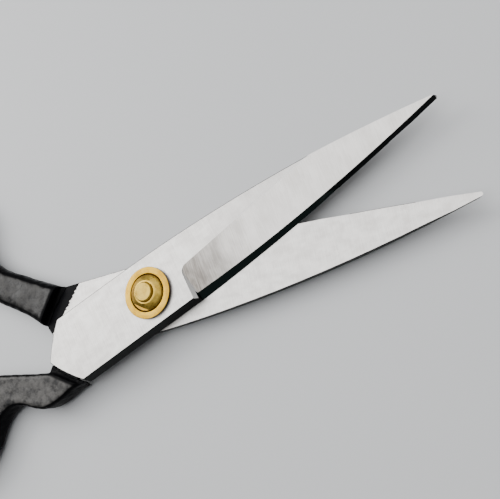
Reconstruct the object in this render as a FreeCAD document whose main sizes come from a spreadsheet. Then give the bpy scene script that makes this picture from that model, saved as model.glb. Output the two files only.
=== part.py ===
"""Tailor's shears: two steel blades, two cast handles and an adjustable brass pivot.

Each half is drawn in its own half frame: the pivot axis is Z, +X runs to the tip, the cutting
edge lies on the -Y side, the inner (shearing) face is z = 0 and the outer face is towards +Z.
The upper half is then turned about the pivot by half of the opening. The lower half is first
turned over about X, so that the two inner faces meet. The pivot set is drawn in the shears' own
frame, where z = 0 is the surface that they rest on.
Lengths are in millimetres and angles in degrees.
"""

import FreeCAD
import Part

import math
import os

import Sketcher
from FreeCAD import Placement, Rotation, Vector

DIMENSIONS = {
    # the pair
    "opening": 17.24,
    "blade_gap": 0.1,
    # blade outline
    "blade_thickness": 4.3,
    "nose_x": 110.8,
    "nose_y": 0.6,
    "nose_radius": 0.75,
    "spine_start_x": 7.7,
    "spine_y": 13.0,
    "spine_radius": 588.0,
    "edge_start_x": 14.8,
    "edge_start_y": 11.5,
    "edge_radius": 815.0,
    "spine_corner_x": 37.4,
    "edge_corner_x": 36.2,
    "edge_corner_y": 13.0,
    "tail_x": 46.9,
    "tail_radius": 60.0,
    "wall_taper": 9.0,
    # ground face and cutting bevel
    "grind_x": 14.0,
    "grind_y": 0.8,
    "grind_turn": 6.3,
    "grind_slope": 12.3,
    "grind_corner": 2.5,
    "grind_length": 120.0,
    "grind_width": 40.0,
    "grind_lean": 0.4,
    "grind_wall_slope": 32.0,
    "bevel_run": 5.4,
    "bevel_tip_run": 2.3,
    "bevel_rise": 4.8,
    "bevel_past_tip": 15.0,
    # tangs, cast into the handles
    "tang_x": 40.0,
    "tang_y": 6.2,
    "tang_root": 5.0,
    "tang_length": 15.0,
    "tang_half_width": 3.5,
    "tang_thickness": 1.6,
    "tang_lift": 0.5,
    "finger_tang_turn": 176.0,
    "thumb_tang_turn": 212.0,
    # handles
    "bar_rise": 3.8,
    "bar_round": 3.4,
    "finger_crest_round": 2.0,
    "thumb_crest_round": 3.2,
    "finger_shoulder": 2.6,
    "thumb_shoulder": 3.8,
    "finger_bow_x": 111.0,
    "finger_bow_y": 5.5,
    "finger_bow_long": 34.0,
    "finger_bow_short": 23.0,
    "finger_bow_turn": 155.0,
    "finger_bar": 8.3,
    "thumb_bow_x": 98.0,
    "thumb_bow_y": 51.5,
    "thumb_bow_long": 26.0,
    "thumb_bow_short": 20.5,
    "thumb_bow_turn": 212.0,
    "thumb_bar": 8.1,
    # pivot set
    "head_radius": 8.6,
    "head_thickness": 2.1,
    "head_chamfer": 0.5,
    "square_half": 3.6,
    "square_play": 0.05,
    "neck_radius": 3.5,
    "neck_play": 0.05,
    "stud_radius": 3.3,
    "stud_top": 3.7,
    "stud_round": 0.5,
    "washer_radius": 8.75,
    "washer_inner": 6.5,
    "washer_height": 1.15,
    "washer_floor": 0.4,
    "washer_seat": 0.05,
    "spring_radius": 6.05,
    "spring_thickness": 0.65,
    "spring_split_half": 0.9,
    "nut_radius": 6.0,
    "nut_top_radius": 3.9,
    "nut_height": 1.6,
    "nut_lip": 0.35,
    "nut_flat": 5.0,
    "nut_flat_turn": 227.0,
    "thread_play": 0.02,
}

SPINE_SIDE = [("nose_x", "nose_y"), ("- spine_start_x", "spine_y"), ("- spine_corner_x", "spine_y")]
TAIL = ("- tail_x", None)
EDGE_CORNER = ("- edge_corner_x", "- edge_corner_y")
EDGE_START = ("edge_start_x", "- edge_start_y")
EDGE_END = ("nose_x", "- nose_y")

# Points of the handles' outlines, x and y in the half's own frame. A shank's top and foot start at
# its straight front, which lies along the blade's tail, and run to the bow.
FINGER_SHANK_TOP = [(-48.3, -2.2), (-54.6, 1.0), (-62.0, 4.9), (-71.6, 9.9)]
FINGER_SHANK_FOOT = [
    (-38.6, -12.8),
    (-47.0, -13.1),
    (-55.2, -13.0),
    (-59.4, -11.0),
    (-64.6, -6.9),
    (-70.6, -4.9),
    (-77.5, -7.4),
    (-84.6, -13.8),
]
FINGER_SHOULDER_BACK = [(-42.0, -12.6), (-50.0, -2.6)]
THUMB_SHANK_FOOT = [(-47.9, -0.9), (-53.0, -4.9), (-59.8, -9.3), (-68.3, -14.8), (-78.0, -21.4)]
THUMB_SHANK_TOP = [(-38.6, -13.6), (-46.5, -17.9), (-55.5, -22.9), (-66.0, -29.2), (-71.8, -35.6)]
THUMB_SHOULDER_BACK = [(-41.0, -14.7), (-47.0, -12.0), (-50.5, -3.4)]

# Heights as sums of cells. A handle's bar is as thick as the shearing plane is high, and its rise.
THUMB_HEIGHT = "head_thickness + blade_thickness + bar_rise"
FINGER_HEIGHT = f"{THUMB_HEIGHT} + blade_gap"
UPPER_FACE = "head_thickness + blade_thickness + blade_gap + blade_thickness"
WASHER_FOOT = f"{UPPER_FACE} + washer_seat"
SPRING_FOOT = f"{WASHER_FOOT} + washer_floor"
NUT_FOOT = f"{SPRING_FOOT} + spring_thickness"
STUD_TOP = f"{UPPER_FACE} + stud_top"

# How near to a height a flat edge's box lies.
EDGE_TOLERANCE = 0.01


# ------------------------------------------------------------------ the sheet and its cells


def make_sheet(doc):
    """The spreadsheet of driving dimensions, one named cell each."""
    sheet = doc.addObject("Spreadsheet::Sheet", "Dims")
    for row, (name, number) in enumerate(DIMENSIONS.items(), start=1):
        sheet.set(f"A{row}", name)
        sheet.set(f"B{row}", str(number))
        sheet.setAlias(f"B{row}", name)
    doc.recompute()


def value(cells):
    """The value of a sum of cells such as '- tail_x + blade_gap'; None is zero."""
    total = 0.0
    sign = 1
    for word in (cells or "").split():
        if word in "+-":
            sign = -1 if word == "-" else 1
        else:
            total += sign * DIMENSIONS[word]
    return total


def link(cells):
    """The expression for a sum of cells."""
    return " ".join(word if word in "+-" else f"Dims.{word}" for word in cells.split())


def shear_height():
    """The height of the shearing plane above the surface that the shears rest on."""
    return value("head_thickness + blade_thickness")


def upper_placement():
    """The place of the upper half: turned by half of the opening, just above the lower half."""
    turned = Rotation(Vector(0, 0, 1), DIMENSIONS["opening"] / 2)
    return Placement(Vector(0, 0, shear_height() + DIMENSIONS["blade_gap"]), turned)


def lower_placement():
    """The place of the lower half: turned over about X, then turned by half of the opening."""
    turned_over = Rotation(Vector(1, 0, 0), 180)
    turned = Rotation(Vector(0, 0, 1), -DIMENSIONS["opening"] / 2)
    return Placement(Vector(0, 0, shear_height()), turned * turned_over)


# ------------------------------------------------------------------ sketch and feature helpers


def new_body(doc, name):
    """A body and its origin planes by role."""
    body = doc.addObject("PartDesign::Body", name)
    planes = {item.Role: item for item in body.Origin.OriginFeatures}
    return body, planes


def new_sketch(body, plane, name, offset=Placement()):
    """A sketch on one of the body's own origin planes."""
    sketch = body.newObject("Sketcher::SketchObject", name)
    sketch.AttachmentSupport = [(plane, "")]
    sketch.MapMode = "FlatFace"
    sketch.AttachmentOffset = offset
    return sketch


def arc_middle(start, end, radius):
    """The middle of the short arc from start to end that bulges to the right."""
    chord = end - start
    right = Vector(chord.y, -chord.x, 0).normalize()
    sagitta = radius - math.sqrt(radius * radius - chord.Length ** 2 / 4)
    return (start + end) / 2 + right * sagitta


def which_end(sketch, edge, point):
    """The sketcher's number for the end of an edge that lies on a point."""
    return 1 if sketch.getPoint(edge, 1).distanceToPoint(point) < 1e-6 else 2


def pin(sketch, edge, end, corner):
    """Bind one end of an edge to the two sums of cells of a corner."""
    for kind, cells, axis in (("DistanceX", corner[0], -2), ("DistanceY", corner[1], -1)):
        if cells is None:
            sketch.addConstraint(Sketcher.Constraint("PointOnObject", edge, end, axis))
        else:
            index = sketch.addConstraint(Sketcher.Constraint(kind, edge, end, value(cells)))
            sketch.setExpression(f"Constraints[{index}]", link(cells))


def draw_outline(sketch, corners, radii=None, hollow=()):
    """A closed outline through corners; radii maps a side's number to the cell of its radius.

    Corners run anticlockwise. A side with a radius is an arc that bulges outwards, or inwards if
    its number is in hollow.
    """
    radii = radii or {}
    points = [Vector(value(x), value(y), 0) for x, y in corners]
    ends = []
    for side, start in enumerate(points):
        end = points[(side + 1) % len(points)]
        if side in radii:
            first, last = (end, start) if side in hollow else (start, end)
            middle = arc_middle(first, last, DIMENSIONS[radii[side]])
            edge = sketch.addGeometry(Part.Arc(first, middle, last))
        else:
            edge = sketch.addGeometry(Part.LineSegment(start, end))
        ends.append((edge, which_end(sketch, edge, start), which_end(sketch, edge, end)))
    for side, (edge, first, last) in enumerate(ends):
        following = ends[(side + 1) % len(ends)]
        joint = Sketcher.Constraint("Coincident", edge, last, following[0], following[1])
        sketch.addConstraint(joint)
        pin(sketch, edge, first, corners[side])
        if side in radii:
            index = sketch.addConstraint(Sketcher.Constraint("Radius", edge, DIMENSIONS[radii[side]]))
            sketch.setExpression(f"Constraints[{index}]", link(radii[side]))


def draw_circle(sketch, radius_cells):
    """A circle about the sketch's origin."""
    circle = Part.Circle(Vector(0, 0, 0), Vector(0, 0, 1), value(radius_cells))
    edge = sketch.addGeometry(circle)
    sketch.addConstraint(Sketcher.Constraint("Coincident", edge, 3, -1, 1))
    index = sketch.addConstraint(Sketcher.Constraint("Radius", edge, value(radius_cells)))
    sketch.setExpression(f"Constraints[{index}]", link(radius_cells))


def draw_rectangle(sketch, low_x, high_x, low_y, high_y):
    """An upright rectangle between four sums of cells."""
    draw_outline(sketch, [(low_x, low_y), (high_x, low_y), (high_x, high_y), (low_x, high_y)])


def pad(body, sketch, name, length_cells):
    """A pad along the sketch's normal."""
    feature = body.newObject("PartDesign::Pad", name)
    feature.Profile = sketch
    feature.setExpression("Length", link(length_cells))
    sketch.Visibility = False
    return feature


def bore_through(body, sketch, name):
    """A pocket both ways through everything."""
    feature = body.newObject("PartDesign::Pocket", name)
    feature.Profile = sketch
    feature.Type = "ThroughAll"
    feature.Midplane = True


def turn_profile(doc, name, corners, radii=None):
    """A body turned about Z from a profile of (radius, height) corners."""
    body, planes = new_body(doc, name)
    sketch = new_sketch(body, planes["XZ_Plane"], f"{name}_profile")
    draw_outline(sketch, corners, radii)
    turned = body.newObject("PartDesign::Revolution", f"{name}_turning")
    turned.Profile = sketch
    turned.ReferenceAxis = (sketch, ["V_Axis"])
    turned.Angle = 360
    return body, planes


# ------------------------------------------------------------------ blades


def grind_face(body, planes, name):
    """The ground face: everything above a plane that falls from the border line to the edge."""
    turned = Rotation(Vector(0, 0, 1), DIMENSIONS["grind_turn"])
    sloped = Rotation(Vector(1, 0, 0), DIMENSIONS["grind_slope"])
    start = Vector(*(DIMENSIONS[cell] for cell in ("grind_x", "grind_y", "blade_thickness")))
    sketch = new_sketch(body, planes["XY_Plane"], f"{name}_ground_area", Placement(start, turned * sloped))
    corners = [
        ("grind_lean", "- grind_width"),
        ("grind_length", "- grind_width"),
        ("grind_length", None),
        ("grind_corner", None),
        (None, "- grind_corner"),
    ]
    draw_outline(sketch, corners, {3: "grind_corner"})
    grind = body.newObject("PartDesign::Pocket", f"{name}_ground_face")
    grind.Profile = sketch
    grind.setExpression("Length", link("blade_thickness + blade_thickness"))
    grind.Reversed = True
    grind.setExpression("TaperAngle", "Dims.grind_wall_slope")


def bevel_edge(body, planes, name):
    """The cutting bevel along the edge, which steepens from the plunge to the tip."""
    past_tip = "nose_x + bevel_past_tip"
    beside = [("edge_start_x", "- grind_width"), (past_tip, "- grind_width")]
    foot = [(past_tip, "nose_y"), EDGE_END, EDGE_START]
    head = [
        (past_tip, "nose_y + bevel_tip_run"),
        ("nose_x", "bevel_tip_run - nose_y"),
        ("edge_start_x", "bevel_run - edge_start_y"),
    ]
    sections = []
    for level, line, height in (("foot", foot, 0), ("head", head, DIMENSIONS["bevel_rise"])):
        place = Placement(Vector(0, 0, height), Rotation())
        sketch = new_sketch(body, planes["XY_Plane"], f"{name}_bevel_{level}", place)
        draw_outline(sketch, beside + line, {3: "edge_radius"}, hollow=[3])
        sections.append(sketch)
    bevel = body.newObject("PartDesign::SubtractiveLoft", f"{name}_bevel")
    bevel.Profile = sections[0]
    bevel.Sections = [sections[1]]
    bevel.Ruled = True


def tang_placement(turn_cell):
    """The frame of a tang: its root on the tail, x along the tang."""
    root = Vector(-DIMENSIONS["tang_x"], -DIMENSIONS["tang_y"], DIMENSIONS["tang_lift"])
    return Placement(root, Rotation(Vector(0, 0, 1), DIMENSIONS[turn_cell]))


def tang_pad(body, planes, name, turn_cell):
    """The flat tang that the handle is cast round."""
    sketch = new_sketch(body, planes["XY_Plane"], f"{name}_tang_area", tang_placement(turn_cell))
    draw_rectangle(sketch, "- tang_root", "tang_length", "- tang_half_width", "tang_half_width")
    pad(body, sketch, f"{name}_tang", "tang_thickness")


def make_blade(doc, name, turn_cell, square_hole):
    """One blade with its tail, ground face, cutting bevel, tang and pivot hole."""
    body, planes = new_body(doc, name)
    outline = new_sketch(body, planes["XY_Plane"], f"{name}_outline")
    corners = SPINE_SIDE + [TAIL, EDGE_CORNER, EDGE_START, EDGE_END]
    radii = {
        0: "spine_radius",
        2: "tail_radius",
        3: "tail_radius",
        5: "edge_radius",
        6: "nose_radius",
    }
    draw_outline(outline, corners, radii)
    blank = pad(body, outline, f"{name}_blank", "blade_thickness")
    blank.setExpression("TaperAngle", "- Dims.wall_taper")
    tang_pad(body, planes, name, turn_cell)
    grind_face(body, planes, name)
    bevel_edge(body, planes, name)
    hole = new_sketch(body, planes["XY_Plane"], f"{name}_pivot_hole")
    if square_hole:
        draw_square(hole, "square_half + square_play", "- square_half - square_play")
    else:
        draw_circle(hole, "neck_radius + neck_play")
    bore_through(body, hole, f"{name}_pivot_bore")
    return body


def draw_square(sketch, high, low):
    """A square about the sketch's origin."""
    draw_rectangle(sketch, low, high, low, high)


# ------------------------------------------------------------------ handles


def bow_point(bow, turn):
    """A point of a bow's outer ellipse, turn degrees round from its rear end."""
    centre = Vector(-DIMENSIONS[f"{bow}_bow_x"], bow_side(bow) * DIMENSIONS[f"{bow}_bow_y"], 0)
    along = Vector(DIMENSIONS[f"{bow}_bow_long"] * math.cos(math.radians(turn)), 0, 0)
    across = Vector(0, -DIMENSIONS[f"{bow}_bow_short"] * math.sin(math.radians(turn)), 0)
    return centre + bow_rotation(bow).multVec(along + across)


def bow_side(bow):
    """The side of the X axis that a bow's centre is on."""
    return 1 if bow == "finger" else -1


def bow_rotation(bow):
    """The turn of a bow's long axis, which points to the rear."""
    return Rotation(Vector(0, 0, 1), DIMENSIONS[f"{bow}_bow_turn"])


def flat_points(corners):
    """Points of a list of (x, y)."""
    return [Vector(x, y, 0) for x, y in corners]


def finger_outline():
    """The finger handle's outer outline, from its front's upper corner round the bow and back."""
    bow = [bow_point("finger", turn) for turn in range(112, -130, -22)]
    return flat_points(FINGER_SHANK_TOP) + bow + flat_points(reversed(FINGER_SHANK_FOOT))


def thumb_outline():
    """The thumb handle's outer outline, from its front's lower corner round the bow and back."""
    bow = [bow_point("thumb", turn) for turn in range(110, -150, -24)]
    return flat_points(THUMB_SHANK_FOOT) + bow + flat_points(reversed(THUMB_SHANK_TOP))


def draw_bow_hole(sketch, bow):
    """The ellipse inside a bow."""
    centre = Vector(-DIMENSIONS[f"{bow}_bow_x"], bow_side(bow) * DIMENSIONS[f"{bow}_bow_y"], 0)
    long = DIMENSIONS[f"{bow}_bow_long"] - DIMENSIONS[f"{bow}_bar"]
    short = DIMENSIONS[f"{bow}_bow_short"] - DIMENSIONS[f"{bow}_bar"]
    long_end = centre + bow_rotation(bow).multVec(Vector(long, 0, 0))
    short_end = centre + bow_rotation(bow).multVec(Vector(0, short, 0))
    sketch.addGeometry(Part.Ellipse(long_end, short_end, centre))


def make_bar(doc, bow, outline, height_cells):
    """The round-edged bar of a handle: its shank, with a straight front, and the loop of its bow.

    A finger bar's crest is on its own +Z side, and a thumb bar's is on its -Z side.
    """
    body, planes = new_body(doc, f"{bow}_bar")
    crest = bow_side(bow) * value("bar_rise")
    foot = crest - bow_side(bow) * value(height_cells)
    place = Placement(Vector(0, 0, min(crest, foot)), Rotation())
    sketch = new_sketch(body, planes["XY_Plane"], f"{bow}_bar_outline", place)
    curve = Part.BSplineCurve()
    curve.interpolate(outline)
    sketch.addGeometry(curve)
    sketch.addGeometry(Part.LineSegment(outline[-1], outline[0]))
    draw_bow_hole(sketch, bow)
    feature = pad(body, sketch, f"{bow}_bar_pad", height_cells)
    feature = round_rims(doc, body, feature, f"{bow}_crest", crest, f"{bow}_crest_round")
    round_rims(doc, body, feature, f"{bow}_foot", foot, "bar_round")
    return body


def round_rims(doc, body, feature, name, height, radius_cell):
    """Round a feature's curved edges at a height."""
    doc.recompute()
    rims = [
        f"Edge{number}"
        for number, edge in enumerate(feature.Shape.Edges, start=1)
        if edge.Curve.TypeId != "Part::GeomLine"
        and max(abs(edge.BoundBox.ZMin - height), abs(edge.BoundBox.ZMax - height)) < EDGE_TOLERANCE
    ]
    rounding = body.newObject("PartDesign::Fillet", name)
    rounding.Base = (feature, rims)
    rounding.setExpression("Radius", link(radius_cell))
    return rounding


def make_shoulder(doc, bow, back_corners):
    """The flat shoulder that joins the shank to the end of the blade's tail."""
    body, planes = new_body(doc, f"{bow}_shoulder")
    sketch = new_sketch(body, planes["XY_Plane"], f"{bow}_shoulder_outline")
    start = Vector(value(TAIL[0]), 0, 0)
    end = Vector(value(EDGE_CORNER[0]), value(EDGE_CORNER[1]), 0)
    middle = arc_middle(start, end, DIMENSIONS["tail_radius"])
    sketch.addGeometry(Part.Arc(start, middle, end))
    corners = [end] + flat_points(back_corners) + [start]
    for first, second in zip(corners[:-1], corners[1:]):
        sketch.addGeometry(Part.LineSegment(first, second))
    pad(body, sketch, f"{bow}_shoulder_pad", f"{bow}_shoulder")
    return body


def make_tang_core(doc, bow):
    """The hollow that the tang fills."""
    core = doc.addObject("Part::Box", f"{bow}_tang_core")
    core.setExpression("Length", "Dims.tang_root + Dims.tang_length")
    core.setExpression("Width", "Dims.tang_half_width + Dims.tang_half_width")
    core.setExpression("Height", "Dims.tang_thickness")
    corner = Vector(-DIMENSIONS["tang_root"], -DIMENSIONS["tang_half_width"], 0)
    core.Placement = tang_placement(f"{bow}_tang_turn") * Placement(corner, Rotation())
    return core


def make_handle(doc, bow, outline, height_cells, back_corners):
    """One cast handle: bar and shoulder in one piece, hollow for the tang."""
    whole = doc.addObject("Part::Fuse", f"{bow}_casting")
    whole.Base = make_bar(doc, bow, outline, height_cells)
    whole.Tool = make_shoulder(doc, bow, back_corners)
    handle = doc.addObject("Part::Cut", f"{bow}_handle")
    handle.Base = whole
    handle.Tool = make_tang_core(doc, bow)
    return handle


# ------------------------------------------------------------------ pivot set


def make_bolt(doc):
    """The bolt: flat head, square neck in the lower blade, round neck and stud."""
    corners = [
        (None, None),
        ("head_radius - head_chamfer", None),
        ("head_radius", "head_chamfer"),
        ("head_radius", "head_thickness"),
        ("neck_radius", "head_thickness"),
        ("neck_radius", SPRING_FOOT),
        ("stud_radius", SPRING_FOOT),
        ("stud_radius", f"{STUD_TOP} - stud_round"),
        ("stud_radius - stud_round", STUD_TOP),
        (None, STUD_TOP),
    ]
    body, planes = turn_profile(doc, "pivot_bolt", corners, {7: "stud_round"})
    turned = Rotation(Vector(0, 0, 1), -DIMENSIONS["opening"] / 2)
    place = Placement(Vector(0, 0, DIMENSIONS["head_thickness"]), turned)
    square = new_sketch(body, planes["XY_Plane"], "square_neck_area", place)
    draw_square(square, "square_half", "- square_half")
    pad(body, square, "square_neck", "blade_thickness")
    return body


def make_washer(doc):
    """The dished washer: a thin floor with a raised rim that shows as a flat ring."""
    corners = [
        ("neck_radius + neck_play", WASHER_FOOT),
        ("washer_radius", WASHER_FOOT),
        ("washer_radius", f"{WASHER_FOOT} + washer_height"),
        ("washer_inner", f"{WASHER_FOOT} + washer_height"),
        ("washer_inner", SPRING_FOOT),
        ("neck_radius + neck_play", SPRING_FOOT),
    ]
    return turn_profile(doc, "pivot_washer", corners)[0]


def make_spring(doc):
    """The split spring washer under the nut."""
    corners = [
        ("neck_radius + neck_play", SPRING_FOOT),
        ("spring_radius", SPRING_FOOT),
        ("spring_radius", NUT_FOOT),
        ("neck_radius + neck_play", NUT_FOOT),
    ]
    body, planes = turn_profile(doc, "spring_washer", corners)
    sketch = new_sketch(body, planes["XY_Plane"], "spring_split_area")
    draw_rectangle(sketch, "- washer_radius", None, "- spring_split_half", "spring_split_half")
    bore_through(body, sketch, "spring_split")
    return body


def make_nut(doc):
    """The nut with its conical skirt, which has one flat."""
    corners = [
        ("stud_radius + thread_play", NUT_FOOT),
        ("nut_radius", NUT_FOOT),
        ("nut_radius", f"{NUT_FOOT} + nut_lip"),
        ("nut_top_radius", f"{NUT_FOOT} + nut_height"),
        ("stud_radius + thread_play", f"{NUT_FOOT} + nut_height"),
    ]
    body, planes = turn_profile(doc, "pivot_nut", corners)
    turned = Rotation(Vector(0, 0, 1), DIMENSIONS["nut_flat_turn"])
    sketch = new_sketch(body, planes["XY_Plane"], "nut_flat_area", Placement(Vector(), turned))
    draw_rectangle(sketch, "nut_flat", "washer_radius", "- nut_radius", "nut_radius")
    bore_through(body, sketch, "nut_flat_cut")
    return body


# ------------------------------------------------------------------ the whole


def check(doc, sub_parts):
    """Stop if any object failed or any sub-part isn't one valid solid."""
    for item in doc.Objects:
        if {"Invalid", "Error"} & set(item.State):
            raise RuntimeError(f"{item.Name} failed: {item.State}")
    for item in sub_parts:
        shape = item.Shape
        if shape.isNull() or not shape.isValid() or len(shape.Solids) != 1:
            raise RuntimeError(f"{item.Label} isn't one valid solid: {len(shape.Solids)}")
        print(f"{item.Label}: {shape.Volume:.1f} mm3, box {shape.BoundBox}")


def main():
    """Build the shears and write one STEP file for each sub-part."""
    doc = FreeCAD.newDocument("shears")
    make_sheet(doc)
    finger_handle = make_handle(doc, "finger", finger_outline(), FINGER_HEIGHT, FINGER_SHOULDER_BACK)
    thumb_handle = make_handle(doc, "thumb", thumb_outline(), THUMB_HEIGHT, THUMB_SHOULDER_BACK)
    upper = {
        "upper_blade": make_blade(doc, "upper", "finger_tang_turn", square_hole=False),
        "finger_handle": finger_handle,
    }
    lower = {
        "lower_blade": make_blade(doc, "lower", "thumb_tang_turn", square_hole=True),
        "thumb_handle": thumb_handle,
    }
    pivot = {
        "pivot_bolt": make_bolt(doc),
        "pivot_washer": make_washer(doc),
        "spring_washer": make_spring(doc),
        "pivot_nut": make_nut(doc),
    }
    for half, place in ((upper, upper_placement()), (lower, lower_placement())):
        for item in half.values():
            item.Placement = place
    whole = {**upper, **lower, **pivot}
    for label, item in whole.items():
        item.Label = label
    doc.recompute()
    sub_parts = list(whole.values())
    check(doc, sub_parts)
    os.makedirs("parts", exist_ok=True)
    for item in sub_parts:
        item.Shape.exportStep(f"parts/{item.Label}.step")


main()
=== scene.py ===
"""Tailor's shears on a pale table: satin steel blades, black enamelled castings and a brass pivot.

Every piece is built in the row frame, in metres: the pivot axis is Z, +X runs between the two tips
and z = 0 is the table. A half's own frame is the row frame turned about Z until x runs along its
blade, from the pivot to the tip.
"""

import math

import bmesh
import bpy
from mathutils import Matrix, Vector, noise


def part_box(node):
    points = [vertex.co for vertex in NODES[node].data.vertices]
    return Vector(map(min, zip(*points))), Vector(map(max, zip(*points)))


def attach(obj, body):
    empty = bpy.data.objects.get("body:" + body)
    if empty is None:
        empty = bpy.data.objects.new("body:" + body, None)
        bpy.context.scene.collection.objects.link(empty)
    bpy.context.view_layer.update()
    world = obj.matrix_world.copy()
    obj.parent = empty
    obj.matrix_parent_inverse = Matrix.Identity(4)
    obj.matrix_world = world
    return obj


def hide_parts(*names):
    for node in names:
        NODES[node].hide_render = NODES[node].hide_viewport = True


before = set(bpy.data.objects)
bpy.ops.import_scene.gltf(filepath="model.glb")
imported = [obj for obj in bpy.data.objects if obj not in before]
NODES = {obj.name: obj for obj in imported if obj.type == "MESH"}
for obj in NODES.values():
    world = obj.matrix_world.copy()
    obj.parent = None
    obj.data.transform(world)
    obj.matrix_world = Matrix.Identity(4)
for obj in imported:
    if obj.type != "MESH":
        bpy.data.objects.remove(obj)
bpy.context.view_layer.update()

MM = 0.001
UP = Vector((0, 0, 1))


# ------------------------------------------------------------------ camera, table and light


def add_object(name, data, place=(0, 0, 0)):
    """A new object in the scene."""
    item = bpy.data.objects.new(name, data)
    item.location = place
    bpy.context.scene.collection.objects.link(item)
    return item


def make_camera():
    """The camera above the blades, rolled so that they rise to the right."""
    aim = Vector((39.3, -2.2, 10.8)) * MM
    distance = 241.5 * MM
    azimuth, elevation, roll = (math.radians(turn) for turn in (-44.83, 61.49, -67.94))
    level = math.cos(elevation)
    back = Vector((level * math.cos(azimuth), level * math.sin(azimuth), math.sin(elevation)))
    camera = add_object("camera", bpy.data.cameras.new("camera"), aim + back * distance)
    camera.data.lens = 55.2
    camera.data.clip_start = 0.01
    camera.rotation_mode = "QUATERNION"
    rolled = Matrix.Rotation(roll, 3, "Z").to_quaternion()
    camera.rotation_quaternion = back.to_track_quat("Z", "Y") @ rolled
    bpy.context.scene.camera = camera


def make_light(name, place, size, watts, tint=(1, 1, 1)):
    """A soft square light that points at the pivot."""
    data = bpy.data.lights.new(name, "AREA")
    data.size = size
    data.energy = watts
    data.color = tint
    light = add_object(name, data, place)
    light.rotation_euler = Vector(place).to_track_quat("Z", "Y").to_euler()


def light_studio():
    """Two soft boxes, overhead and behind the handles, in a dim, even surrounding."""
    make_light("overhead", (-0.10, 0.25, 0.80), 1.3, 14.0)
    make_light("back_left", (-0.75, 0.65, 0.60), 0.6, 6.0, (1.0, 0.99, 0.97))
    world = bpy.data.worlds.new("studio")
    bpy.context.scene.world = world
    world.use_nodes = True
    background = world.node_tree.nodes["Background"]
    background.inputs["Color"].default_value = (0.93, 0.95, 1.0, 1)
    background.inputs["Strength"].default_value = 0.16


def make_table():
    """A wide plain table top at z = 0."""
    half = 3.0
    corners = [(-half, -half, 0), (half, -half, 0), (half, half, 0), (-half, half, 0)]
    mesh = bpy.data.meshes.new("table_top")
    mesh.from_pydata(corners, [], [(0, 1, 2, 3)])
    graph = Graph("table_laminate")
    graph.set(Roughness=0.55, Base_Color=(0.60, 0.61, 0.62, 1))
    mesh.materials.append(graph.material)
    add_object("table_top", mesh)


# ------------------------------------------------------------------ materials


class Graph:
    """A material and short calls that build its nodes."""

    def __init__(self, name):
        self.material = bpy.data.materials.new(name)
        self.material.use_nodes = True
        self.tree = self.material.node_tree
        self.shader = self.tree.nodes["Principled BSDF"]

    def put(self, socket, setting):
        """Link a socket to another, or set its value."""
        if isinstance(setting, bpy.types.NodeSocket):
            self.tree.links.new(setting, socket)
        else:
            socket.default_value = setting

    def set(self, **settings):
        """Set or link the shader's own sockets; an underscore in a name stands for a space."""
        for name, setting in settings.items():
            self.put(self.shader.inputs[name.replace("_", " ")], setting)

    def add(self, kind, inputs, **attributes):
        """A node with its attributes set and its inputs, by name or number, set or linked."""
        node = self.tree.nodes.new(kind)
        for name, setting in attributes.items():
            setattr(node, name, setting)
        for name, setting in inputs.items():
            self.put(node.inputs[name], setting)
        return node

    def place(self, turn=0.0, scale=(1, 1, 1)):
        """The surface's place in metres, turned about Z and stretched."""
        raw = self.add("ShaderNodeTexCoord", {}).outputs["Object"]
        mapping = self.add("ShaderNodeMapping", {"Vector": raw, "Rotation": (0, 0, -turn)})
        inputs = {0: mapping.outputs[0], 1: scale}
        return self.add("ShaderNodeVectorMath", inputs, operation="MULTIPLY").outputs[0]

    def noise(self, place, detail=3.0, roughness=0.5):
        """Noise from 0 to 1, one lump to each unit of place."""
        inputs = {"Vector": place, "Scale": 1.0, "Detail": detail, "Roughness": roughness}
        return self.add("ShaderNodeTexNoise", inputs).outputs[0]

    def math(self, operation, first, second=0.0):
        """A calculation on two numbers."""
        return self.add("ShaderNodeMath", {0: first, 1: second}, operation=operation).outputs[0]

    def remap(self, value, low, high, to_low=0.0, to_high=1.0):
        """A value's range low to high, carried smoothly to another range."""
        inputs = {0: value, 1: low, 2: high, 3: to_low, 4: to_high}
        return self.add("ShaderNodeMapRange", inputs, interpolation_type="SMOOTHSTEP").outputs[0]

    def mix(self, share, first, second):
        """A blend of two colours."""
        node = self.add("ShaderNodeMix", {"Factor": share}, data_type="RGBA")
        self.put(node.inputs[6], first)
        self.put(node.inputs[7], second)
        return node.outputs[2]

    def blend(self, share, first, second):
        """A blend of two numbers."""
        return self.add("ShaderNodeMix", {0: share, 2: first, 3: second}, data_type="FLOAT").outputs[0]

    def bump(self, height, distance, strength=1.0, under=None):
        """A bump of a height map, on top of another bump."""
        inputs = {"Height": height, "Distance": distance, "Strength": strength}
        if under:
            inputs["Normal"] = under
        return self.add("ShaderNodeBump", inputs).outputs[0]


def per_mm(x, y=None, z=None):
    """A scale that gives noise a lump of so many millimetres along each axis."""
    y = y or x
    z = z or y
    return tuple(1 / (size * MM) for size in (x, y, z))


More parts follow.
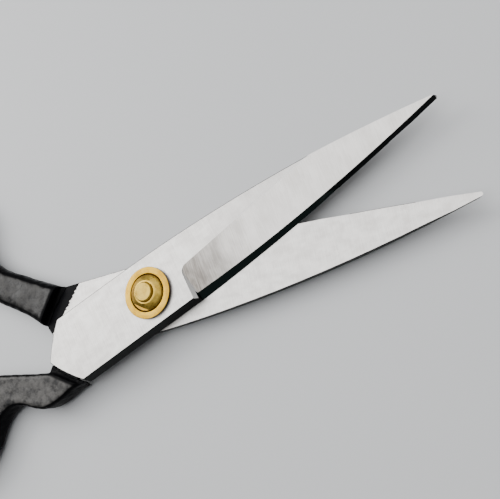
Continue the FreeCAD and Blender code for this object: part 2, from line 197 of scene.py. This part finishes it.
def steel_flat(name, turn, painted_strip_shade, painted_tail):
    """Satin steel with fine lines across the blade.

    The flat strip by the spine darkens towards the tip with painted shade, as much as its shade argument
    says; a painted tail is enamelled.
    """
    deep, pale, painted_shade_grey = (0.52, 0.50, 0.48, 1), (0.69, 0.675, 0.65, 1), (0.42, 0.41, 0.40, 1)
    graph = Graph(name)
    lines = graph.noise(graph.place(turn, per_mm(0.16, 7.0)), 4.0, 0.6)
    clouds = graph.noise(graph.place(turn, per_mm(5.0, 3.0)), 4.0, 0.6)
    grain = graph.noise(graph.place(turn, per_mm(0.35)), 2.0)
    tone = graph.math("ADD", graph.math("MULTIPLY", lines, 0.5), graph.math("MULTIPLY", clouds, 0.5))
    satin = graph.mix(graph.remap(tone, 0.36, 0.64), deep, pale)
    along = graph.add("ShaderNodeSeparateXYZ", {0: graph.place(turn)}).outputs[0]
    # painted shade: the flat strip is darkened towards the tip
    painted_shade_share = graph.math("MULTIPLY", graph.remap(along, 20 * MM, 55 * MM), painted_strip_shade)
    colour = graph.mix(painted_shade_share, satin, painted_shade_grey)
    roughness = graph.remap(graph.math("ADD", lines, grain), 0.7, 1.3, 0.34, 0.44)
    metallic = 1.0
    normal = graph.bump(lines, 0.004 * MM, 0.6)
    if painted_tail:
        enamel_black, enamel_roughness = (0.004, 0.004, 0.005, 1), 0.30
        paint = paint_mask(graph, turn)
        graph.set(Specular_IOR_Level=0.04)
        colour = graph.mix(paint, colour, enamel_black)
        roughness = graph.blend(paint, roughness, enamel_roughness)
        metallic = graph.math("SUBTRACT", 1.0, paint)
        normal = graph.bump(paint, 0.05 * MM, 0.8, normal)
    graph.set(Base_Color=colour, Roughness=roughness, Metallic=metallic, Normal=normal)
    return graph.material


def paint_mask(graph, turn):
    """1 where a brush has left enamel on the tail of a blade, with a ragged edge; 0 elsewhere."""
    slant, stroke_length, start, fade = 0.92, 3.4 * MM, 42.2 * MM, 0.3 * MM
    axes = graph.add("ShaderNodeSeparateXYZ", {0: graph.place(turn)}).outputs
    behind = graph.math("SUBTRACT", graph.math("MULTIPLY", axes[1], slant), axes[0])
    strokes = graph.noise(graph.place(turn, per_mm(2.4, 0.7)), 3.0, 0.65)
    strokes = graph.math("MULTIPLY", graph.math("SUBTRACT", strokes, 0.5), stroke_length)
    return graph.remap(graph.math("ADD", behind, strokes), start, start + fade)


def steel_ground(name, turn):
    """The ground face: lines nearly across the blade, with a painted dark, warm reflection on the pivot's
    side.
    """
    askew = 0.2
    graph = Graph(name)
    lines = graph.noise(graph.place(turn - askew, per_mm(0.45, 9.0)), 4.0, 0.7)
    clouds = graph.noise(graph.place(turn, per_mm(5.0, 9.0)), 3.0, 0.6)
    along = graph.add("ShaderNodeSeparateXYZ", {0: graph.place(turn)}).outputs[0]
    start = graph.math("ADD", along, graph.math("MULTIPLY", clouds, 8 * MM))
    # painted reflection: the ground face is darker and warmer towards the pivot
    light = graph.remap(start, 14 * MM, 50 * MM)
    blotches = graph.math("ADD", graph.math("MULTIPLY", lines, 0.6), graph.math("MULTIPLY", clouds, 0.4))
    tone = graph.remap(blotches, 0.36, 0.64)
    painted_dark_reflection = graph.mix(tone, (0.12, 0.105, 0.09, 1), (0.33, 0.305, 0.275, 1))
    pale = graph.mix(tone, (0.56, 0.54, 0.515, 1), (0.72, 0.70, 0.675, 1))
    graph.set(
        Base_Color=graph.mix(light, painted_dark_reflection, pale),
        Metallic=1.0,
        Roughness=graph.remap(lines, 0.3, 0.7, 0.33, 0.43),
        Normal=graph.bump(lines, 0.005 * MM, 0.7),
    )
    return graph.material


def cove_painted_highlight(name, turn):
    """The cove, and the line, between the flat and the ground face: pale, half-metal steel, a painted
    highlight.
    """
    graph = Graph(name)
    lines = graph.noise(graph.place(turn, per_mm(3.0, 0.3, 0.3)), 3.0)
    # painted highlight: pale colour and little metal keep the cove bright
    colour = graph.mix(lines, (0.78, 0.77, 0.75, 1), (0.92, 0.91, 0.89, 1))
    roughness = graph.remap(lines, 0.3, 0.7, 0.45, 0.6)
    normal = graph.bump(lines, 0.01 * MM, 0.5)
    graph.set(Base_Color=colour, Metallic=0.3, Roughness=roughness, Normal=normal)
    return graph.material


def bevel_painted_reflection(name, turn):
    """The cutting bevel: smooth, and nearly black, a painted dark reflection."""
    graph = Graph(name)
    lines = graph.noise(graph.place(turn, per_mm(0.5, 0.12)), 3.0)
    # painted reflection: the bevel is coloured nearly black
    colour = graph.mix(lines, (0.006, 0.012, 0.011, 1), (0.014, 0.026, 0.024, 1))
    roughness = graph.remap(lines, 0.3, 0.7, 0.12, 0.2)
    graph.set(Base_Color=colour, Metallic=0.6, Roughness=roughness, Normal=graph.bump(lines, 0.002 * MM, 0.4))
    return graph.material


def enamel(name, turn, front, normal, grey, level):
    """Black enamel over a rough casting: clean black on the sides, with greyish patches of painted sheen on
    the flat top.

    It is black near the shank's front too, which lies front metres out along normal, a direction in
    the half's own frame. grey is how pale the painted sheen's patches are, and level how nearly
    flat a place has to be to take the sheen.
    """
    black, painted_sheen_grey = (0.003, 0.003, 0.0035, 1), (grey, grey * 0.96, grey * 0.91, 1)
    graph = Graph(name)
    lumps = graph.noise(graph.place(0, per_mm(4.2)), 3.0, 0.6)
    pits = graph.noise(graph.place(0, per_mm(1.5)), 4.0, 0.6)
    peel = graph.noise(graph.place(0, per_mm(0.4)), 2.0)
    facing = graph.add("ShaderNodeNewGeometry", {}).outputs["Normal"]
    facing_up = graph.add("ShaderNodeSeparateXYZ", {0: facing}).outputs[2]
    inputs = {0: graph.place(turn), 1: normal}
    behind = graph.add("ShaderNodeVectorMath", inputs, operation="DOT_PRODUCT").outputs["Value"]
    clear = graph.remap(behind, front + 0.9 * MM, front + 2.0 * MM)
    # painted sheen: grey patches only on faces that look up, where the light falls
    top = graph.math("MULTIPLY", graph.remap(facing_up, level, 0.99), clear)
    patches = graph.math("ADD", graph.math("MULTIPLY", lumps, 0.55), graph.math("MULTIPLY", pits, 0.45))
    painted_sheen = graph.math("MULTIPLY", graph.remap(patches, 0.34, 0.66), top)
    relief = graph.bump(lumps, 0.35 * MM, 0.8)
    relief = graph.bump(pits, 0.16 * MM, 0.8, relief)
    relief = graph.bump(peel, 0.02 * MM, 0.5, relief)
    graph.set(
        Base_Color=graph.mix(painted_sheen, black, painted_sheen_grey),
        Roughness=graph.remap(patches, 0.4, 0.62, 0.28, 0.5),
        Normal=relief,
        Specular_IOR_Level=graph.remap(top, 0.0, 1.0, 0.03, 0.22),
    )
    return graph.material


def wall_painted_reflection(name):
    """The side walls of a blade, nearly black: painted dark reflection and shade, also drawn as dark lines
    along the rims.
    """
    graph = Graph(name)
    streaks = graph.noise(graph.place(0, per_mm(2.0, 2.0, 0.3)), 3.0)
    # painted reflection and shade: the walls are coloured nearly black
    colour = graph.mix(streaks, (0.002, 0.003, 0.003, 1), (0.006, 0.007, 0.007, 1))
    roughness = graph.remap(streaks, 0.3, 0.7, 0.3, 0.5)
    normal = graph.bump(streaks, 0.05 * MM, 0.5)
    graph.set(Base_Color=colour, Roughness=roughness, Normal=normal, Specular_IOR_Level=0.06)
    return graph.material


def brass(name, pale, deep, shade_height):
    """Satin brass with the fine rings of a lathe, and painted shade in the gaps.

    The painted shade is dark brown and lies in the gaps, between the blade and the height given last, in
    millimetres.
    """
    painted_gap_shade, shade_fade = (0.035, 0.016, 0.004, 1), 0.12
    graph = Graph(name)
    place = graph.place(0)
    x, y, z = graph.add("ShaderNodeSeparateXYZ", {0: place}).outputs
    flat = graph.add("ShaderNodeCombineXYZ", {0: x, 1: y}).outputs[0]
    radius = graph.add("ShaderNodeVectorMath", {0: flat}, operation="LENGTH").outputs["Value"]
    inputs = {0: graph.add("ShaderNodeCombineXYZ", {0: radius, 1: z}).outputs[0], 1: per_mm(0.22)}
    rings = graph.noise(graph.add("ShaderNodeVectorMath", inputs, operation="MULTIPLY").outputs[0], 3.0, 0.6)
    clouds = graph.noise(graph.place(0, per_mm(2.6)), 3.0, 0.55)
    specks = graph.noise(graph.place(0, per_mm(0.45)), 2.0)
    tone = graph.math("ADD", graph.math("MULTIPLY", clouds, 0.65), graph.math("MULTIPLY", rings, 0.35))
    metal = graph.mix(graph.remap(tone, 0.36, 0.62), deep, pale)
    # painted shade: dark brown in the gaps, from 10 mm up to the given height
    above = graph.remap(z, (shade_height - shade_fade) * MM, shade_height * MM)
    beneath = graph.math("SUBTRACT", 1.0, graph.remap(z, 9 * MM, 10 * MM))
    colour = graph.mix(graph.math("MAXIMUM", above, beneath), painted_gap_shade, metal)
    roughness = graph.remap(graph.math("ADD", clouds, specks), 0.7, 1.3, 0.26, 0.42)
    normal = graph.bump(rings, 0.03 * MM, 0.8)
    normal = graph.bump(clouds, 0.10 * MM, 0.45, normal)
    graph.set(Base_Color=colour, Metallic=1.0, Roughness=roughness, Normal=normal)
    return graph.material


# ------------------------------------------------------------------ mesh helpers


def mesh_from(bm, name):
    """A mesh from a finished bmesh, with its sides facing out."""
    mesh = bpy.data.meshes.new(name)
    bmesh.ops.recalc_face_normals(bm, faces=bm.faces)
    bm.to_mesh(mesh)
    bm.free()
    return mesh


def smooth(mesh, sharp_degrees):
    """Smooth shading, with sharp edges where the faces turn more than an angle."""
    mesh.polygons.foreach_set("use_smooth", [True] * len(mesh.polygons))
    mesh.set_sharp_from_angle(angle=math.radians(sharp_degrees))


def apply_modifiers(piece):
    """Give a piece the mesh that its modifiers make, and take them off."""
    scene_state = bpy.context.evaluated_depsgraph_get()
    finished = bpy.data.meshes.new_from_object(piece.evaluated_get(scene_state))
    piece.modifiers.clear()
    piece.data = finished


def stand_for(piece, node, body):
    """Show a piece in place of a CAD node."""
    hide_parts(node)
    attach(piece, body)


def tip_turn(node):
    """The turn about Z of a blade's own x axis, which ends at its tip."""
    tip = max((vertex.co for vertex in NODES[node].data.vertices), key=lambda place: place.xy.length)
    return math.atan2(tip.y, tip.x)


# ------------------------------------------------------------------ blades


FLAT, GROUND, COVE, BEVEL, WALL = range(5)

# how squarely a face has to look outwards, or for a flat either way, to be of its kind
FLAT_HEIGHT, GROUND_HEIGHT, BEVEL_HEIGHT = 0.999, 0.9, 0.6

# softened edges lie between these distances from the pivot axis
HOLE_RIM, TIP_START = 8 * MM, 98 * MM


def own_axes(place, outwards, turn):
    """How far a place or a direction goes along a blade, and across it from edge to spine."""
    along = place.x * math.cos(turn) + place.y * math.sin(turn)
    across = outwards * (place.y * math.cos(turn) - place.x * math.sin(turn))
    return along, across


def face_kind(face, outwards, turn):
    """Which part of a blade a face belongs to; outwards is the z direction of its outer side."""
    height = face.normal.z * outwards
    if abs(height) > FLAT_HEIGHT:
        return FLAT
    if height > GROUND_HEIGHT:
        return GROUND
    along, across = own_axes(face.calc_center_median(), outwards, turn)
    to_tip, to_spine = own_axes(face.normal, outwards, turn)
    in_corner = 10 * MM < along < 20 * MM and across > -5 * MM and to_spine < 0.2
    if in_corner or height > 0.3 and to_tip > 0.5:
        return COVE
    return BEVEL if height > BEVEL_HEIGHT else WALL


def kinds_beside(edge):
    """The kinds of face beside an edge, or none in the pivot hole and near the tip."""
    distances = [vertex.co.xy.length for vertex in edge.verts]
    if min(distances) < HOLE_RIM or max(distances) > TIP_START:
        return set()
    return {face.material_index for face in edge.link_faces}


def is_rim(edge):
    """Whether an edge runs between a wall and a flat face."""
    return kinds_beside(edge) == {FLAT, WALL}


def is_border(edge):
    """Whether an edge is the straight line where the ground face starts."""
    return kinds_beside(edge) == {FLAT, GROUND} and edge.calc_length() > 3 * MM


def make_blade(node, body, outwards, painted_strip_shade, painted_tail):
    """A blade with softened edges and a material for each kind of face."""
    turn = tip_turn(node)
    bm = bmesh.new()
    bm.from_mesh(NODES[node].data)
    bmesh.ops.remove_doubles(bm, verts=bm.verts, dist=0.002 * MM)
    bmesh.ops.dissolve_limit(bm, angle_limit=math.radians(0.3), verts=bm.verts, edges=bm.edges)
    bm.normal_update()
    heights = [vertex.co.z for vertex in bm.verts]
    inside = 0.2 * MM
    for face in bm.faces:
        face.material_index = face_kind(face, outwards, turn)
        height = face.calc_center_median().z
        # flats inside the blade's thickness take the walls' painted dark reflection
        if face.material_index == FLAT and min(heights) + inside < height < max(heights) - inside:
            face.material_index = WALL
    # the rims get a narrow dark bevel, a painted shade line along each edge; the ground's border gets a pale
    # bevel, a painted highlight line
    for wanted, width, kind in ((is_rim, 0.25, WALL), (is_border, 0.2, COVE)):
        edges = [edge for edge in bm.edges if wanted(edge)]
        bmesh.ops.bevel(
            bm, geom=edges, offset=width * MM, segments=2, profile=0.5, affect="EDGES",
            clamp_overlap=False, material=kind,
        )
    bmesh.ops.triangulate(bm, faces=[face for face in bm.faces if len(face.verts) > 4])
    mesh = mesh_from(bm, node)
    for material in (
        steel_flat(f"{node}_flat_steel", turn, painted_strip_shade, painted_tail),
        steel_ground(f"{node}_ground_steel", turn),
        cove_painted_highlight(f"{node}_cove_highlight", turn),
        bevel_painted_reflection(f"{node}_bevel_dark_reflection", turn),
        wall_painted_reflection(f"{node}_wall_dark_reflection"),
    ):
        mesh.materials.append(material)
    smooth(mesh, 3.5)
    stand_for(add_object(f"{node}_ground", mesh), node, body)


# ------------------------------------------------------------------ handles


def share(amount, whole):
    """How much of a whole an amount is, from a hundredth to all of it."""
    return min(max(amount / whole, 0.01), 1)


def own_place(place, turn):
    """A place in a half's own plane, in metres."""
    return Matrix.Rotation(-turn, 2) @ place.xy


def make_casting(node, blade, body, front, normal, seed, crisp, rounds, grey, level):
    """A handle as it was cast: softened behind its front, lumpy all over and enamelled.

    front is a point on the shank's front in the half's own plane, and normal points off it to
    the bow; crisp is how far behind its front the shank keeps its corners, in millimetres; rounds is
    how often the rest is softened; grey and level are the enamel's own.
    """
    underside_top, fade, underside_rounds, crisp_fade = 7.5 * MM, 4 * MM, 150, 6 * MM
    turn = tip_turn(blade)
    piece = add_object(f"{node}_casting", NODES[node].data.copy())
    skin = piece.modifiers.new("skin", "REMESH")
    skin.mode = "VOXEL"
    skin.voxel_size = 0.45 * MM
    apply_modifiers(piece)
    front = Vector(front) * MM
    normal = Vector(normal).normalized()
    below = piece.vertex_groups.new(name="underside")
    behind = piece.vertex_groups.new(name="behind")
    for vertex in piece.data.vertices:
        distance = (own_place(vertex.co, turn) - front).dot(normal)
        low = share(underside_top - vertex.co.z, fade) * share(distance - MM, fade)
        below.add([vertex.index], low, "REPLACE")
        behind.add([vertex.index], share(distance - crisp * MM, crisp_fade), "REPLACE")
    for group, times in ((below, underside_rounds), (behind, rounds)):
        soften = piece.modifiers.new(group.name, "SMOOTH")
        soften.factor = 0.5
        soften.iterations = times
        soften.vertex_group = group.name
    apply_modifiers(piece)
    roughen(piece.data, seed)
    smooth(piece.data, 180)
    coat = enamel(f"{node}_enamel", turn, front.dot(normal), normal.to_3d(), grey, level)
    piece.data.materials.clear()
    piece.data.materials.append(coat)
    stand_for(piece, node, body)


def roughen(mesh, seed):
    """Push a skin in and out by the lumps of a sand casting, more inwards than outwards.

    Nothing goes below z = 0. All sizes are in millimetres.
    """
    large, large_depth, small, small_depth, inwards = 7, 0.22, 2.6, 0.12, 0.3
    shift = Vector((seed, seed * 2, seed * 3))
    moves = []
    for vertex in mesh.vertices:
        place = vertex.co / MM
        lump = noise.noise(place / large + shift) * large_depth
        lump += noise.noise(place / small + shift) * small_depth
        moves.append(vertex.co + vertex.normal * (lump - inwards) * MM)
    for vertex, place in zip(mesh.vertices, moves):
        vertex.co = (place.x, place.y, max(place.z, 0))


# ------------------------------------------------------------------ pivot set


def rounded(profile, radius, steps=4):
    """A closed profile of (r, z) corners, each one rounded."""
    least_room = 2.2  # a corner takes less than half of each side, so that two never meet
    points = []
    for number, corner in enumerate(profile):
        corner = Vector(corner)
        before = Vector(profile[number - 1]) - corner
        after = Vector(profile[(number + 1) % len(profile)]) - corner
        reach = min(radius, before.length / least_room, after.length / least_room)
        first = corner + before.normalized() * reach
        last = corner + after.normalized() * reach
        for step in range(steps + 1):
            way = step / steps
            points.append(first.lerp(corner, way).lerp(corner.lerp(last, way), way))
    return points


def swept(section, angles, closed):
    """A bmesh of a closed (r, z) section in millimetres, carried round Z; open ends are capped."""
    bm = bmesh.new()
    rings = []
    for angle in angles:
        direction = Vector((math.cos(angle), math.sin(angle), 0))
        rings.append([bm.verts.new((direction * r + UP * z) * MM) for r, z in section])
    pairs = list(zip(rings[:-1], rings[1:]))
    if closed:
        pairs.append((rings[-1], rings[0]))
    for first, second in pairs:
        for point in range(len(section)):
            nearby = (point + 1) % len(section)
            bm.faces.new((first[point], second[point], second[nearby], first[nearby]))
    if not closed:
        bm.faces.new(rings[0])
        bm.faces.new(rings[-1])
    return bm


def turned(profile, segments=128):
    """A bmesh turned all the way round Z from a closed profile in millimetres."""
    return swept(profile, [math.tau * number / segments for number in range(segments)], closed=True)


def node_sizes(node):
    """A turned CAD node's outer radius and its lowest and highest z, in millimetres."""
    low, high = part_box(node)
    return high.x / MM, low.z / MM, high.z / MM


def finish_turning(bm, name, node, material):
    """Shade and place a turned piece."""
    mesh = mesh_from(bm, name)
    smooth(mesh, 40)
    mesh.materials.append(material)
    stand_for(add_object(name, mesh), node, "lower_half")


def make_washer(material):
    """The dished washer, with softened rims."""
    outer, foot, top = node_sizes("pivot_washer")
    inner, hole, floor = 6.5, 3.56, foot + 0.4
    profile = [(hole, foot), (outer, foot), (outer, top), (inner, top), (inner, floor), (hole, floor)]
    finish_turning(turned(rounded(profile, 0.16)), "washer_turned", "pivot_washer", material)


def make_nut(material):
    """The nut: a low cone over a narrow lip, with one flat."""
    outer, foot, top = node_sizes("pivot_nut")
    hole, crown, lip = 3.32, 3.9, 0.35
    flat_distance, flat_turn = 5.0, math.radians(227)
    profile = [(hole, foot), (outer, foot), (outer, foot + lip), (crown, top), (hole, top)]
    bm = turned(rounded(profile, 0.2))
    flat = Vector((math.cos(flat_turn), math.sin(flat_turn), 0))
    everything = bm.verts[:] + bm.edges[:] + bm.faces[:]
    cut = bmesh.ops.bisect_plane(
        bm, geom=everything, plane_co=flat * flat_distance * MM, plane_no=flat, clear_outer=True, dist=1e-7
    )
    rim = [item for item in cut["geom_cut"] if isinstance(item, bmesh.types.BMEdge)]
    bmesh.ops.edgenet_fill(bm, edges=rim)
    finish_turning(bm, "nut_turned", "pivot_nut", material)


def make_spring(material):
    """The split spring washer: a flat ring with a gap."""
    outer, foot, top = node_sizes("spring_washer")
    hole, steps, start, end = 3.6, 120, math.radians(189), math.radians(531)
    section = rounded([(hole, foot), (outer, foot), (outer, top), (hole, top)], 0.14)
    angles = [start + (end - start) * step / steps for step in range(steps + 1)]
    finish_turning(swept(section, angles, closed=False), "spring_ring", "spring_washer", material)


# ------------------------------------------------------------------ the whole


make_camera()
light_studio()
make_table()
make_blade("upper_blade", "upper_half", outwards=1, painted_strip_shade=0.45, painted_tail=False)
make_blade("lower_blade", "lower_half", outwards=-1, painted_strip_shade=0, painted_tail=True)
make_casting(
    "finger_handle", "upper_blade", "upper_half", front=(-43.4, -7.5), normal=(-0.74, -0.67),
    seed=3, crisp=16, rounds=50, grey=0.095, level=0.75,
)
make_casting(
    "thumb_handle", "lower_blade", "lower_half", front=(-43.2, 7.3), normal=(-0.81, 0.59),
    seed=8, crisp=1, rounds=110, grey=0.05, level=0.88,
)
make_washer(brass("washer_brass", (0.58, 0.36, 0.045, 1), (0.44, 0.25, 0.022, 1), 11.9))
make_spring(brass("spring_brass", (0.60, 0.37, 0.07, 1), (0.36, 0.20, 0.025, 1), 11.7))
make_nut(brass("nut_brass", (0.66, 0.45, 0.085, 1), (0.44, 0.27, 0.035, 1), 12.05))
bolt_mesh = NODES["pivot_bolt"].data
bolt_mesh.materials.clear()
bolt_mesh.materials.append(brass("bolt_brass", (0.52, 0.36, 0.08, 1), (0.32, 0.20, 0.03, 1), 13.65))
